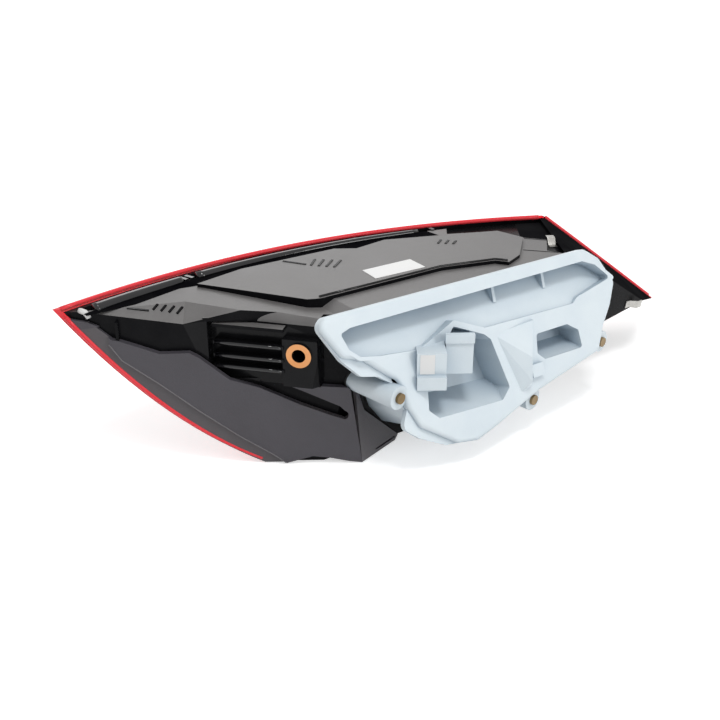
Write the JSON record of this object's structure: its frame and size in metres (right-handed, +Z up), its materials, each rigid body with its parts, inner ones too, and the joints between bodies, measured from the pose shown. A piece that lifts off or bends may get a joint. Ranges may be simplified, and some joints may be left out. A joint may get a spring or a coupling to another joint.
{
  "type": "tail light cluster",
  "caption": "Rear lamp of a car with red lens, black body with bolt bracket, matt end panel and light grey rear cover with connector socket.",
  "frame": {"origin": "middle of the underside of the box around the lamp as it stands in the picture", "axes": "+X along the lamp to its right tip, -Y towards the car body (rear cover), +Z up"},
  "size_m": [0.5162, 0.1779, 0.117],
  "materials": {
    "red_lens": "clear red moulded lens",
    "sealant": "black glue bead",
    "black_body": "black moulding, satin top, smooth walls",
    "matt_panel": "fine grain, matt",
    "grey_cover": "light grey moulding, satin",
    "foam": "closed-cell foam",
    "brass_screw": "yellow passivated",
    "terminal": "tinned",
    "copper_bush": "copper-coloured, turned",
    "white_label": "bare white label",
    "spring_steel": "bent sheet",
    "bezel": "dark grey",
    "clear_bar": "clear",
    "reflector": "metallised",
    "circuit_board": "green board",
    "diode": "yellow phosphor",
    "small_screw": "zinc plated"
  },
  "bodies": {
    "root": {"outer_lens": "red_lens", "lens_sealant": "sealant", "lamp_body": "black_body", "side_skirt": "matt_panel", "rear_cover": "grey_cover", "cover_seal": "foam", "cover_screws": "brass_screw", "connector_pins": "terminal", "mount_bush": "copper_bush", "top_label": "white_label", "cover_label": "white_label", "upper_spring_clip": "spring_steel", "end_spring_clip": "spring_steel", "inner_bezel": "bezel", "light_guide": "clear_bar", "stop_reflector": "reflector", "turn_reflector": "reflector", "stop_board": "circuit_board", "turn_board": "circuit_board", "driver_board": "circuit_board", "stop_leds": "diode", "turn_leds": "diode", "board_screws": "small_screw"}
  },
  "joints": []
}
